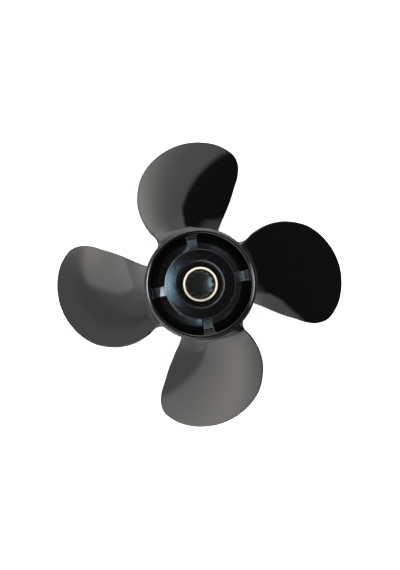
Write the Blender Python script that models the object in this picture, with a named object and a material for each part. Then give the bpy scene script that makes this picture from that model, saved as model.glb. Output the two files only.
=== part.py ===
"""Four-bladed outboard propeller with its exhaust led out through the hub.

The axis stands on +Z with the forward end, which faces the gearcase, at the top. The origin is the
centre of the aft rim, which is the face that a loose propeller is set down on. The screw is
right-handed: seen from above, a blade's leading edge lies anticlockwise of its trailing edge and
higher. Barrel, inner hub, ribs and blades are one casting in metal; they are separate solids here,
with a hairline gap, so that each is a simple shape.
"""

import math

import bmesh
import bpy
from mathutils import Matrix, Vector

MM = 0.001
GAP = 0.3 * MM

# Driving dimensions of the whole propeller
PITCH = 305 * MM
BLADE_COUNT = 4
FIRST_BLADE_ANGLE = math.radians(103)
FIRST_RIB_ANGLE = math.radians(101)
BARREL_LENGTH = 100 * MM
RAKE = math.radians(9)

# Hub barrel
BARREL_STEPS = 72
SHOULDER_RADIUS = 54.0 * MM
SHOULDER_START = 88.4 * MM
SHOULDER_ROUNDING = 1.8 * MM
WAIST_RADIUS = 48.0 * MM
WAIST_HEIGHT = 12 * MM
AFT_FLARE_RADIUS = 50.0 * MM
SPIGOT_RADIUS = 51.6 * MM
SPIGOT_FOOT = 90.8 * MM
SPIGOT_FOOT_ROUNDING = 0.5 * MM
RIM_INNER_RADIUS = 48.4 * MM
RIM_ROUNDING = 1.2 * MM
WALL_RADIUS_AT_RIBS = 45.4 * MM
WALL_RADIUS_AFT = 43.4 * MM
AFT_MOUTH_RADIUS = 45.8 * MM

# Inner hub
HUB_STEPS = 60
HUB_FRONT = 90 * MM
HUB_AFT = 22 * MM
HUB_RADIUS_FRONT = 34.2 * MM
HUB_RADIUS_AFT = 33.2 * MM
HUB_FACE_SLOPE = 1.0 * MM
HUB_EDGE_ROUNDING = 0.9 * MM
HUB_BORE_RADIUS = 22.6 * MM
HUB_BORE_CHAMFER = 0.6 * MM
BUSHING_STOP_RADIUS = 19.0 * MM
BUSHING_STOP_HEIGHT = 33.7 * MM
BUSHING_STOP_CHAMFER = 1.5 * MM

# Exhaust ribs between the inner hub and the barrel, and the raised pads ahead of them
RIB_FRONT = 70 * MM
RIB_AFT = 27 * MM
RIB_WIDTH = 9.2 * MM
RIB_FILLET = 2.6 * MM
RIB_STEPS_ACROSS = 4
PAD_SWEEP = math.radians(15)
PAD_HEIGHT = 1.0 * MM
PAD_TOP = 97 * MM
PAD_ROOT = 1.5 * MM

# Rubber bushing
BUSHING_FRONT = 84 * MM
BUSHING_GROOVE_DEPTH = 1.6 * MM

# Splined sleeve
SLEEVE_RADIUS = 16.7 * MM
SLEEVE_FRONT = 88 * MM
SLEEVE_AFT = 26 * MM
SLEEVE_MOUTH_RADIUS = 14.3 * MM
SLEEVE_CHAMFER = 0.4 * MM
CONE_FOOT = 84 * MM
CONE_FOOT_RADIUS = 13.15 * MM
TOOTH_START = 80.4 * MM
SPLINE_TEETH = 13
SPLINE_MINOR_RADIUS = 11.6 * MM
SPLINE_MAJOR_RADIUS = 13.0 * MM
GROOVE_FLOOR_SHARE = 0.20
GROOVE_MOUTH_SHARE = 0.44

# Blade. The outline runs from the leading edge's root over the tip to the trailing edge's root, as
# (radius, angle from the blade's own line); positive angles are on the leading side.
BLADE_OUTLINE = (
    (65.0 * MM, 31.7),
    (72.0 * MM, 31.6),
    (85.6 * MM, 29.4),
    (99.2 * MM, 25.6),
    (110.7 * MM, 21.1),
    (120.9 * MM, 16.3),
    (129.4 * MM, 10.7),
    (135.9 * MM, 5.0),
    (141.1 * MM, -0.9),
    (144.6 * MM, -7.4),
    (145.8 * MM, -14.4),
    (144.4 * MM, -21.1),
    (139.0 * MM, -27.5),
    (130.1 * MM, -30.9),
    (118.5 * MM, -32.5),
    (105.0 * MM, -32.8),
    (92.0 * MM, -33.2),
    (76.0 * MM, -32.8),
    (65.0 * MM, -32.1),
)
TIP_START = 7
TIP_END = 12
ROOT_HEIGHT = 51.5 * MM
ROOT_THICKNESS = 9.5 * MM
EDGE_RADIUS = 1.1 * MM
FILLET_RADIUS = 6.5 * MM
LEADING_FILLET_RADIUS = 9.5 * MM
LEADING_SHARE = 0.3
FOOT_LIMIT = 0.3 * MM
FOOT_SOFTNESS = 0.8 * MM
BLADE_ROWS = 10
BLADE_COLUMNS = 12
EDGE_STEPS = 6
FILLET_STEPS = 4


def make_material(name, colour, roughness, metallic=0.0):
    material = bpy.data.materials.new(name)
    material.use_nodes = True
    shader = material.node_tree.nodes["Principled BSDF"]
    shader.inputs["Base Color"].default_value = (*colour, 1.0)
    shader.inputs["Roughness"].default_value = roughness
    shader.inputs["Metallic"].default_value = metallic
    return material


def add_object(name, bm, material):
    """Makes the object, with its faces pointing out and its round faces shaded smooth."""
    bmesh.ops.remove_doubles(bm, verts=bm.verts, dist=1e-6)
    bmesh.ops.recalc_face_normals(bm, faces=bm.faces)
    mesh = bpy.data.meshes.new(name)
    bm.to_mesh(mesh)
    bm.free()
    mesh.shade_smooth()
    mesh.set_sharp_from_angle(angle=math.radians(35))
    mesh.materials.append(material)
    made = bpy.data.objects.new(name, mesh)
    bpy.context.scene.collection.objects.link(made)
    return made


def hide(helper):
    helper.hide_render = True
    helper.display_type = "WIRE"


def combine(target, other, operation):
    boolean = target.modifiers.new(operation.title(), "BOOLEAN")
    boolean.operation = operation
    boolean.object = other
    hide(other)


def arc(centre, radius, start_deg, end_deg, steps):
    """Points (radius from the axis, height) of a rounded corner in a turned profile."""
    points = []
    for i in range(steps + 1):
        angle = math.radians(start_deg + (end_deg - start_deg) * i / steps)
        points.append((centre[0] + radius * math.cos(angle), centre[1] + radius * math.sin(angle)))
    return points


def turned(profile, steps, start=0.0, sweep=math.tau):
    """A closed profile of (radius, height) points, turned about the axis; open sweeps get end caps."""
    bm = bmesh.new()
    ring = [bm.verts.new((r * math.cos(start), r * math.sin(start), z)) for r, z in profile]
    edges = [bm.edges.new((ring[i - 1], ring[i])) for i in range(len(ring))]
    whole = sweep >= math.tau
    made = bmesh.ops.spin(bm, geom=ring + edges, cent=(0, 0, 0), axis=(0, 0, 1), angle=sweep, steps=steps)
    if not whole:
        last = [piece for piece in made["geom_last"] if isinstance(piece, bmesh.types.BMEdge)]
        bmesh.ops.contextual_create(bm, geom=edges)
        bmesh.ops.contextual_create(bm, geom=last)
    return bm


def barrel_radius(height):
    """Outer radius of the barrel where the blades stand: a straight taper from waist to shoulder."""
    share = (height - WAIST_HEIGHT) / (SHOULDER_START - WAIST_HEIGHT)
    return WAIST_RADIUS + (SHOULDER_RADIUS - WAIST_RADIUS) * share


def wall_radius(height):
    """Inner radius of the barrel: it narrows from the rim to the ribs, and less steeply aft of them."""
    if height > RIB_FRONT:
        share = (height - RIB_FRONT) / (BARREL_LENGTH - RIM_ROUNDING - RIB_FRONT)
        return WALL_RADIUS_AT_RIBS + (RIM_INNER_RADIUS - WALL_RADIUS_AT_RIBS) * share
    share = (height - HUB_AFT) / (RIB_FRONT - HUB_AFT)
    return WALL_RADIUS_AFT + (WALL_RADIUS_AT_RIBS - WALL_RADIUS_AFT) * share


def hub_radius(height):
    share = (height - HUB_AFT) / (HUB_FRONT - HUB_AFT)
    return HUB_RADIUS_AFT + (HUB_RADIUS_FRONT - HUB_RADIUS_AFT) * share


def barrel_profile():
    top = BARREL_LENGTH
    outside = [
        (AFT_FLARE_RADIUS - 1 * MM, 0),
        (AFT_FLARE_RADIUS, 1 * MM),
        (AFT_FLARE_RADIUS - 0.3 * MM, 2.5 * MM),
        (WAIST_RADIUS + 0.6 * MM, 5.5 * MM),
        (WAIST_RADIUS, 9 * MM),
        (WAIST_RADIUS, WAIST_HEIGHT),
    ]
    shoulder = arc((SHOULDER_RADIUS - SHOULDER_ROUNDING, SHOULDER_START), SHOULDER_ROUNDING, 0, 80, 4)
    foot_centre = (SPIGOT_RADIUS + SPIGOT_FOOT_ROUNDING, SPIGOT_FOOT)
    spigot_foot = arc(foot_centre, SPIGOT_FOOT_ROUNDING, 260, 180, 2)
    rim_outer = arc((SPIGOT_RADIUS - RIM_ROUNDING, top - RIM_ROUNDING), RIM_ROUNDING, 0, 90, 3)
    rim_inner = arc((RIM_INNER_RADIUS + RIM_ROUNDING, top - RIM_ROUNDING), RIM_ROUNDING, 90, 180, 3)
    inside = [
        (wall_radius(RIB_FRONT), RIB_FRONT),
        (wall_radius(HUB_AFT), HUB_AFT),
        (WALL_RADIUS_AFT + 0.6 * MM, 8 * MM),
        (AFT_MOUTH_RADIUS, 0),
    ]
    return outside + shoulder + spigot_foot + rim_outer + rim_inner + inside


def pad_profile():
    """A shallow pad on the barrel's inner wall, rooted in the wall, ahead of each rib."""
    low, high = RIB_FRONT, PAD_TOP
    return [
        (wall_radius(low) - PAD_HEIGHT, low),
        (wall_radius(low) + PAD_ROOT, low),
        (wall_radius(high) + PAD_ROOT, high),
        (wall_radius(high) - PAD_HEIGHT * 0.3, high),
        (wall_radius(high - 2 * MM) - PAD_HEIGHT, high - 2 * MM),
    ]


def hub_barrel(material):
    start = FIRST_RIB_ANGLE - PAD_SWEEP / 2
    barrel = add_object("hub_barrel", turned(barrel_profile(), BARREL_STEPS, start), material)
    for number in range(BLADE_COUNT):
        turn = start + math.tau * number / BLADE_COUNT
        pad = add_object(f"pad_shape_{number + 1}", turned(pad_profile(), 3, turn, PAD_SWEEP), material)
        combine(barrel, pad, "UNION")
    return barrel


def inner_hub(material):
    face_edge = HUB_FRONT - HUB_FACE_SLOPE
    rounding = arc(
        (HUB_RADIUS_FRONT - HUB_EDGE_ROUNDING, face_edge - HUB_EDGE_ROUNDING), HUB_EDGE_ROUNDING, 0, 84, 3
    )
    profile = [(HUB_RADIUS_AFT - 1 * MM, HUB_AFT), (HUB_RADIUS_AFT, HUB_AFT + 1 * MM)]
    profile += rounding
    profile += [
        (HUB_BORE_RADIUS + HUB_BORE_CHAMFER, HUB_FRONT),
        (HUB_BORE_RADIUS, HUB_FRONT - HUB_BORE_CHAMFER),
        (HUB_BORE_RADIUS, BUSHING_STOP_HEIGHT),
        (BUSHING_STOP_RADIUS, BUSHING_STOP_HEIGHT),
        (BUSHING_STOP_RADIUS, HUB_AFT + BUSHING_STOP_CHAMFER),
        (BUSHING_STOP_RADIUS + BUSHING_STOP_CHAMFER, HUB_AFT),
    ]
    return add_object("inner_hub", turned(profile, HUB_STEPS), material)


def rib_stations(height):
    """Arcs across the rib from the inner hub to the barrel, as (radius, shift outwards, half width)."""
    inner = hub_radius(height) + GAP
    outer = wall_radius(height) - GAP
    stations = []
    for degrees in (0, 30, 60, 90):
        angle = math.radians(degrees)
        half = RIB_WIDTH / 2 + RIB_FILLET * (1 - math.sin(angle))
        stations.append((inner, RIB_FILLET * (1 - math.cos(angle)), half))
    return stations + [(outer, -shift, half) for _, shift, half in reversed(stations)]


def exhaust_rib(name, angle, material):
    """A web that carries the inner hub in the barrel, filleted where it meets each of them."""
    bm = bmesh.new()
    layers = []
    for height in (RIB_AFT, RIB_FRONT):
        layer = []
        for radius, shift, half in rib_stations(height):
            row = []
            for step in range(RIB_STEPS_ACROSS + 1):
                y = half * (2 * step / RIB_STEPS_ACROSS - 1)
                x = math.sqrt(radius**2 - y**2) + shift
                row.append(bm.verts.new((x, y, height)))
            layer.append(row)
        layers.append(layer)
    low, high = layers
    for layer in layers:
        for row, following in zip(layer, layer[1:]):
            for i in range(RIB_STEPS_ACROSS):
                bm.faces.new((row[i], row[i + 1], following[i + 1], following[i]))
    for i in range(RIB_STEPS_ACROSS):
        for row in (0, -1):
            bm.faces.new((low[row][i], low[row][i + 1], high[row][i + 1], high[row][i]))
    for row in range(len(low) - 1):
        for i in (0, -1):
            bm.faces.new((low[row][i], low[row + 1][i], high[row + 1][i], high[row][i]))
    bmesh.ops.rotate(bm, verts=bm.verts, cent=(0, 0, 0), matrix=Matrix.Rotation(angle, 3, "Z"))
    return add_object(name, bm, material)


def outline_point(place):
    """A smooth curve through the outline's points, by Catmull and Rom's formula. Place counts points."""
    last = len(BLADE_OUTLINE) - 1
    span = min(int(place), last - 1)
    share = place - span
    corners = []
    for index in range(span - 1, span + 3):
        radius, degrees = BLADE_OUTLINE[min(max(index, 0), last)]
        angle = math.radians(degrees)
        corners.append(Vector((radius * math.cos(angle), radius * math.sin(angle))))
    a, b, c, d = corners
    return 0.5 * (
        2 * b + (c - a) * share + (2 * a - 5 * b + 4 * c - d) * share**2 + (3 * b - a - 3 * c + d) * share**3
    )


def outline_normal(place):
    """Unit vector that points out of the blade, in plan."""
    last = len(BLADE_OUTLINE) - 1
    step = 0.02
    along = outline_point(min(place + step, last)) - outline_point(max(place - step, 0))
    return Vector((-along.y, along.x)).normalized()


def edge_point(place):
    """Centre of the rounded edge: the outline taken in by the edge's radius."""
    return outline_point(place) - outline_normal(place) * EDGE_RADIUS


def plan_point(a, b):
    """Plan position at share a of the way from leading to trailing edge, and b from root to tip."""
    last = len(BLADE_OUTLINE) - 1
    leading = edge_point(TIP_START * b)
    trailing = edge_point(last - (last - TIP_END) * b)
    tip = edge_point(TIP_START + (TIP_END - TIP_START) * a)
    root_lead, root_trail = edge_point(0), edge_point(last)
    tip_lead, tip_trail = edge_point(TIP_START), edge_point(TIP_END)
    radius = root_lead.length + (root_trail.length - root_lead.length) * a
    start = math.atan2(root_lead.y, root_lead.x)
    end = math.atan2(root_trail.y, root_trail.x)
    angle = start + (end - start) * a
    root = Vector((radius * math.cos(angle), radius * math.sin(angle)))
    across = leading * (1 - a) + trailing * a
    along = root * (1 - b) + tip * b
    corners = (root_lead * (1 - a) + root_trail * a) * (1 - b) + (tip_lead * (1 - a) + tip_trail * a) * b
    return across + along - corners


def screw_point(radius, angle):
    """The helical surface of constant pitch, raked aft, that the pressure face lies on."""
    height = ROOT_HEIGHT + PITCH * angle / math.tau - (radius - SHOULDER_RADIUS) * math.tan(RAKE)
    return Vector((radius * math.cos(angle), radius * math.sin(angle), height))


def screw_normal(radius, angle):
    """Unit normal of that surface, on the forward side."""
    outward = Vector((math.cos(angle), math.sin(angle), -math.tan(RAKE)))
    around = Vector((-math.sin(angle), math.cos(angle), PITCH / math.tau / radius))
    return outward.cross(around).normalized()


def crown(a, b):
    """How far the forward face stands off the screw surface beyond the edge's own radius."""
    return (ROOT_THICKNESS - 2 * EDGE_RADIUS) * (1 - (2 * a - 1) ** 2) * (1 - b)


def face_point(a, b, side):
    """A point on the forward face (side 1) or on the aft, pressure face (side -1)."""
    plan = plan_point(a, b)
    radius, angle = plan.length, math.atan2(plan.y, plan.x)
    offset = EDGE_RADIUS + crown(a, b) if side > 0 else -EDGE_RADIUS
    return screw_point(radius, angle) + screw_normal(radius, angle) * offset


def edge_ring(place):
    """Points round the blade's edge from the forward face to the aft face, ends left out."""
    plan = edge_point(place)
    radius, angle = plan.length, math.atan2(plan.y, plan.x)
    normal = screw_normal(radius, angle)
    flat = outline_normal(place)
    out = Vector((flat.x, flat.y, 0))
    out = (out - normal * out.dot(normal)).normalized()
    centre = screw_point(radius, angle)
    ring = []
    for step in range(1, EDGE_STEPS):
        turn = math.pi / 2 - math.pi * step / EDGE_STEPS
        ring.append(centre + (out * math.cos(turn) + normal * math.sin(turn)) * EDGE_RADIUS)
    return ring


def smooth(share):
    share = min(max(share, 0.0), 1.0)
    return share * share * (3 - 2 * share)


def soft_floor(value, softness):
    """Close to the value where it is well above 0, and to 0 where it is well below."""
    return softness * math.log1p(math.exp(value / softness))


def root_loop(section, turn):
    """The root section carried in to the fillet's height above the barrel, and spread out along it.

    Each point of the section comes with the direction it faces, which is 0 on the forward face and
    a quarter turn at the leading edge, and with how much thicker the blade gets inwards. The foot
    stays just below the barrel's shoulder.
    """
    angles = [math.atan2(point.y, point.x) for point, _, _ in section]
    loop = []
    for (point, facing, thicker), angle in zip(section, angles):
        from_leading = (max(angles) - angle) / (max(angles) - min(angles))
        fillet = LEADING_FILLET_RADIUS
        fillet += (FILLET_RADIUS - LEADING_FILLET_RADIUS) * smooth(from_leading / LEADING_SHARE)
        height = fillet * (1 - math.sin(turn))
        level = point.z
        for _ in range(6):
            carried = math.hypot(point.x, point.y) - barrel_radius(level) - height
            level = point.z + carried * math.tan(RAKE)
        reach = barrel_radius(level)
        chord = Vector((reach, PITCH / math.tau)).normalized()
        square = Vector((-chord.y, chord.x))
        outward = square * math.cos(facing) + chord * math.sin(facing)
        flat = Vector((reach * angle, level)) + square * thicker * carried
        flat += outward * fillet * (1 - math.cos(turn))
        limit = SHOULDER_START - FOOT_LIMIT
        level = limit - soft_floor(limit - flat.y, FOOT_SOFTNESS)
        reach = barrel_radius(level)
        turned_by = flat.x / reach
        reach += GAP + height
        loop.append(Vector((reach * math.cos(turned_by), reach * math.sin(turned_by), level)))
    return loop


def root_section(forward, trailing, aft, leading):
    """The points round the blade's root, each with the direction it faces and its growth inwards."""
    step = 0.02
    last = len(forward) - 1
    section = []
    for i, vert in enumerate(forward):
        a = i / last
        outward = plan_point(a, step).length - plan_point(a, 0).length
        section.append((vert.co, 0.0, (crown(a, 0) - crown(a, step)) / outward))
    for i, vert in enumerate(trailing):
        section.append((vert.co, -math.pi * (i + 1) / EDGE_STEPS, 0.0))
    for vert in reversed(aft):
        section.append((vert.co, math.pi, 0.0))
    for i, vert in reversed(list(enumerate(leading))):
        section.append((vert.co, math.pi * (i + 1) / EDGE_STEPS, 0.0))
    return section


def blade_mesh():
    """One blade on the +X line: two faces joined by a rounded edge, and a filleted root."""
    bm = bmesh.new()
    shares = [i / BLADE_COLUMNS for i in range(BLADE_COLUMNS + 1)]
    levels = [1 - (1 - j / BLADE_ROWS) ** 1.3 for j in range(BLADE_ROWS + 1)]
    last = len(BLADE_OUTLINE) - 1
    forward = [[bm.verts.new(face_point(a, b, 1)) for a in shares] for b in levels]
    aft = [[bm.verts.new(face_point(a, b, -1)) for a in shares] for b in levels]
    leading = [[bm.verts.new(p) for p in edge_ring(TIP_START * b)] for b in levels]
    trailing = [[bm.verts.new(p) for p in edge_ring(last - (last - TIP_END) * b)] for b in levels]
    tip = [leading[-1]]
    for a in shares[1:-1]:
        tip.append([bm.verts.new(p) for p in edge_ring(TIP_START + (TIP_END - TIP_START) * a)])
    tip.append(trailing[-1])

    def skin(rows):
        for lower, upper in zip(rows, rows[1:]):
            for i in range(len(lower) - 1):
                bm.faces.new((lower[i], lower[i + 1], upper[i + 1], upper[i]))

    skin(forward)
    skin(aft)
    skin([[f[0], *e, p[0]] for f, e, p in zip(forward, leading, aft)])
    skin([[f[-1], *e, p[-1]] for f, e, p in zip(forward, trailing, aft)])
    skin([[f, *e, p] for f, e, p in zip(forward[-1], tip, aft[-1])])

    ring = [*forward[0], *trailing[0], *reversed(aft[0]), *reversed(leading[0])]
    section = root_section(forward[0], trailing[0], aft[0], leading[0])
    for step in range(FILLET_STEPS + 1):
        lower = [bm.verts.new(p) for p in root_loop(section, math.pi / 2 * step / FILLET_STEPS)]
        for i in range(len(ring)):
            bm.faces.new((ring[i - 1], ring[i], lower[i], lower[i - 1]))
        ring = lower
    close_root(bm, ring)
    return bm


def close_root(bm, ring):
    """Closes the root with lines of points, one for each step round the edge, on the barrel's curve."""
    columns = BLADE_COLUMNS + 1
    forward = ring[:columns]
    trailing = ring[columns : columns + EDGE_STEPS - 1]
    aft = list(reversed(ring[columns + EDGE_STEPS - 1 : 2 * columns + EDGE_STEPS - 1]))
    leading = list(reversed(ring[2 * columns + EDGE_STEPS - 1 :]))
    lines = [forward]
    for step in range(1, EDGE_STEPS):
        line = []
        for a, b in zip(forward, aft):
            point = a.co.lerp(b.co, step / EDGE_STEPS)
            scale = (barrel_radius(point.z) + GAP) / math.hypot(point.x, point.y)
            line.append(bm.verts.new((point.x * scale, point.y * scale, point.z)))
        lines.append(line)
    lines.append(aft)
    for first, second in zip(lines, lines[1:]):
        for i in range(columns - 1):
            bm.faces.new((first[i], first[i + 1], second[i + 1], second[i]))
    for column, ends in ((0, leading), (-1, trailing)):
        outer = [forward[column], *ends, aft[column]]
        inner = [line[column] for line in lines]
        for i in range(EDGE_STEPS):
            bm.faces.new(list(dict.fromkeys((outer[i], outer[i + 1], inner[i + 1], inner[i]))))


def blades(material):
    first = add_object("blade_1", blade_mesh(), material)
    for number in range(BLADE_COUNT):
        blade = first
        if number:
            blade = bpy.data.objects.new(f"blade_{number + 1}", first.data)
            bpy.context.scene.collection.objects.link(blade)
        blade.rotation_euler.z = FIRST_BLADE_ANGLE + math.tau * number / BLADE_COUNT


def rubber_bushing(material):
    outer = HUB_BORE_RADIUS - GAP
    inner = SLEEVE_RADIUS + GAP
    front = BUSHING_FRONT
    groove = front - BUSHING_GROOVE_DEPTH
    aft = BUSHING_STOP_HEIGHT + GAP
    profile = [
        (outer, aft),
        (outer, front - 0.8 * MM),
        (outer - 0.8 * MM, front),
        (outer - 1.6 * MM, front),
        (outer - 2.4 * MM, groove),
        (inner + 1.6 * MM, groove),
        (inner + 0.8 * MM, front),
        (inner, front),
        (inner, aft),
    ]
    return add_object("rubber_bushing", turned(profile, HUB_STEPS), material)


def spline_cutter(material):
    """A prism whose plan has one lobe for each groove between the shaft's teeth."""
    bm = bmesh.new()
    low, high = SLEEVE_AFT - 2 * MM, CONE_FOOT + 1 * MM
    inside = SPLINE_MINOR_RADIUS - 0.6 * MM
    floor, mouth = GROOVE_FLOOR_SHARE, GROOVE_MOUTH_SHARE
    plan = []
    for tooth in range(SPLINE_TEETH):
        centre = math.tau * tooth / SPLINE_TEETH
        lobe = ((-mouth, inside), (-floor, SPLINE_MAJOR_RADIUS), (floor, SPLINE_MAJOR_RADIUS), (mouth, inside))
        for share, radius in lobe:
            angle = centre + math.tau / SPLINE_TEETH * share
            plan.append((radius * math.cos(angle), radius * math.sin(angle)))
    loops = [[bm.verts.new((x, y, z)) for x, y in plan] for z in (low, high)]
    for i in range(len(plan)):
        bm.faces.new((loops[0][i - 1], loops[0][i], loops[1][i], loops[1][i - 1]))
    for loop in loops:
        bm.faces.new(loop)
    return add_object("spline_shape", bm, material)


def splined_sleeve(material):
    profile = [
        (SLEEVE_RADIUS - SLEEVE_CHAMFER, SLEEVE_AFT),
        (SLEEVE_RADIUS, SLEEVE_AFT + SLEEVE_CHAMFER),
        (SLEEVE_RADIUS, SLEEVE_FRONT - SLEEVE_CHAMFER),
        (SLEEVE_RADIUS - SLEEVE_CHAMFER, SLEEVE_FRONT),
        (SLEEVE_MOUTH_RADIUS + SLEEVE_CHAMFER, SLEEVE_FRONT),
        (SLEEVE_MOUTH_RADIUS, SLEEVE_FRONT - SLEEVE_CHAMFER),
        (CONE_FOOT_RADIUS, CONE_FOOT),
        (SPLINE_MINOR_RADIUS, TOOTH_START),
        (SPLINE_MINOR_RADIUS, SLEEVE_AFT),
    ]
    sleeve = add_object("splined_sleeve", turned(profile, HUB_STEPS), material)
    combine(sleeve, spline_cutter(material), "DIFFERENCE")
    return sleeve


def build():
    for old in list(bpy.data.objects):
        bpy.data.objects.remove(old)
    paint = make_material("gloss_black_paint", (0.012, 0.012, 0.013), 0.18)
    rubber = make_material("black_rubber", (0.010, 0.010, 0.010), 0.7)
    brass = make_material("machined_brass", (0.80, 0.62, 0.36), 0.28, 1.0)
    hub_barrel(paint)
    inner_hub(paint)
    for number in range(BLADE_COUNT):
        exhaust_rib(f"exhaust_rib_{number + 1}", FIRST_RIB_ANGLE + math.tau * number / BLADE_COUNT, paint)
    blades(paint)
    rubber_bushing(rubber)
    splined_sleeve(brass)


build()
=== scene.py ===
# Outboard propeller, loose, standing on its aft rim and seen straight down its shaft axis.
# Lengths are in metres, in the frame of the CAD model: +Z is the shaft axis, forward end up.
import math

import bmesh
import bpy
import numpy as np
from mathutils import Matrix, Vector
from mathutils.geometry import delaunay_2d_cdt


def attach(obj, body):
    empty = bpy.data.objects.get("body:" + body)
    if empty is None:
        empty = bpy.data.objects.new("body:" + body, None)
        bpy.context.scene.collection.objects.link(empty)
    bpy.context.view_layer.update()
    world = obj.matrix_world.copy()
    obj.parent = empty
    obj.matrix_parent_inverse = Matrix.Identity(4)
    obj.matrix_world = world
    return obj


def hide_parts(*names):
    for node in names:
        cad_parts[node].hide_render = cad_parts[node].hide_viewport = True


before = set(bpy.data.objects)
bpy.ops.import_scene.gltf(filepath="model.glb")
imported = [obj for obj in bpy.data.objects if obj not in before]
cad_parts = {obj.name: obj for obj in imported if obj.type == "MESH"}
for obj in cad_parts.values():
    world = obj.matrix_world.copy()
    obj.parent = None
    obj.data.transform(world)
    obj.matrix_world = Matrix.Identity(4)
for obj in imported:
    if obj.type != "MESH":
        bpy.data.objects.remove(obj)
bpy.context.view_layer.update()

MM = 0.001

# The propeller as a whole
PITCH_PER_RADIAN = 305 * MM / math.tau
RAKE_SLOPE = math.tan(math.radians(9))
FIRST_BLADE = math.radians(103)
FIRST_RIB = math.radians(101)

# Barrel, outside
SHOULDER_RADIUS = 54.0 * MM
SHOULDER_START = 88.4 * MM
SHOULDER_ROUNDING = 1.8 * MM
WAIST_RADIUS = 48.0 * MM
WAIST_HEIGHT = 12 * MM
WAIST_SOFTNESS = 2.5 * MM
FLARE_WIDTH = 2.0 * MM
FLARE_FOOT = 0.5 * MM
FLARE_HEIGHT = 9 * MM
SPIGOT_RADIUS = 51.6 * MM
SPIGOT_FOOT = 90.8 * MM
SPIGOT_FOOT_ROUNDING = 0.5 * MM
SPIGOT_ROWS = (93 * MM, 96 * MM)
RIM_HEIGHT = 100 * MM
RIM_ROUNDING = 1.2 * MM
AFT_EDGE = 1.0 * MM

# Barrel, inside
RIM_INNER_RADIUS = 48.4 * MM
WALL_RADIUS_AFT = 43.4 * MM
WALL_RADIUS_RIBS = 45.4 * MM
WALL_BEND = 70 * MM
WALL_SOFTNESS = 2.0 * MM
AFT_MOUTH_RADIUS = 45.8 * MM
AFT_MOUTH_LIP = 0.6 * MM
AFT_MOUTH_ROUNDING = 0.9 * MM
PAD_HEIGHT = 1.0 * MM
PAD_EDGES = (7.2, 7.8)
PAD_TOP = 96.9 * MM
PAD_GAP = 0.3 * MM
PAD_RAMP = 1.5 * MM
PAD_FOOT = 76 * MM

# Inner hub
HUB_AFT = 22 * MM
HUB_FRONT = 90 * MM
HUB_RADIUS_AFT = 33.2 * MM
HUB_RADIUS_FRONT = 34.2 * MM
HUB_BORE = 22.6 * MM
BORE_ROUNDING = 0.6 * MM
BORE_ROWS = (86 * MM, 82 * MM)
STOP_BORE = 19.0 * MM
STOP_HEIGHT = 33.7 * MM
HUB_EDGE = 88.36 * MM
HUB_FACE = (
    (32.2 * MM, 89.40 * MM),
    (31.0 * MM, 89.52 * MM),
    (29.6 * MM, 89.65 * MM),
    (28.2 * MM, 89.76 * MM),
    (26.5 * MM, 89.85 * MM),
    (24.6 * MM, 89.93 * MM),
)

# Ribs
RIB_AFT = 27 * MM
RIB_FRONT = 70 * MM
RIB_HALF_WIDTH = 4.6 * MM
RIB_CORNER = 0.8 * MM
RIB_FILLET = 2.6 * MM
RIB_BAND = (23 * MM, 73.6 * MM)

# Blades; the outline is (radius, degrees from the blade's own line), leading edge first
BLADE_OUTLINE = (
    (65.0 * MM, 31.7),
    (72.0 * MM, 31.6),
    (85.6 * MM, 29.4),
    (99.2 * MM, 25.6),
    (110.7 * MM, 21.1),
    (120.9 * MM, 16.3),
    (129.4 * MM, 10.7),
    (135.9 * MM, 5.0),
    (141.1 * MM, -0.9),
    (144.6 * MM, -7.4),
    (145.8 * MM, -14.4),
    (144.4 * MM, -21.1),
    (139.0 * MM, -27.5),
    (130.1 * MM, -30.9),
    (118.5 * MM, -32.5),
    (105.0 * MM, -32.8),
    (92.0 * MM, -33.2),
    (76.0 * MM, -32.8),
    (65.0 * MM, -32.1),
)
TIP_START = 7
TIP_END = 12
ROOT_HEIGHT = 51.5 * MM
ROOT_THICKNESS = 9.5 * MM
EDGE_RADIUS = 1.1 * MM
BLADE_FILLET = 6.5 * MM
LEADING_FILLET = 9.5 * MM
LEADING_SHARE = 0.3
FOOT_LIMIT = 0.3 * MM
FOOT_SOFTNESS = 0.8 * MM
ROOT_STEP = 0.02
DIRECTION_STEP = 0.02
CARRY_ROUNDS = 6
BLADE_BAND = (9 * MM, SHOULDER_START)

# Bushing and sleeve
BUSHING_AFT = 34 * MM
BUSHING_FRONT = 84 * MM
BUSHING_GROOVE = 1.5 * MM
BUSHING_GAP = 0.3 * MM
SLEEVE_RADIUS = 16.6 * MM
SLEEVE_AFT = 26 * MM
SLEEVE_FRONT = 88 * MM
SLEEVE_MOUTH = 14.3 * MM
CONE_FOOT = 84 * MM
CONE_FOOT_RADIUS = 13.15 * MM
SPLINE_TEETH = 13
SPLINE_MINOR = 11.6 * MM
SPLINE_MAJOR = 13.0 * MM
GROOVE_START = 0.26
GROOVE_FLANK = 0.34
SPLINE_ROWS = (83.8, 83.1, 82.4, 81.7, 81.0, 80.4, 79.6, 70, 60, 48, 36, 26.2)
SPLINE_DEPTHS = (0.0, 0.2, 0.4, 0.6, 0.8, 0.95, 1, 1, 1, 1, 1, 1)

# Camera
CAMERA_LENS = 60.1
CAMERA_SENSOR = 36
CAMERA_PLACE = (-0.012, -0.004, 1.0)
CAMERA_TARGET = (-0.0006, -0.0008, 0.1)

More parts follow.
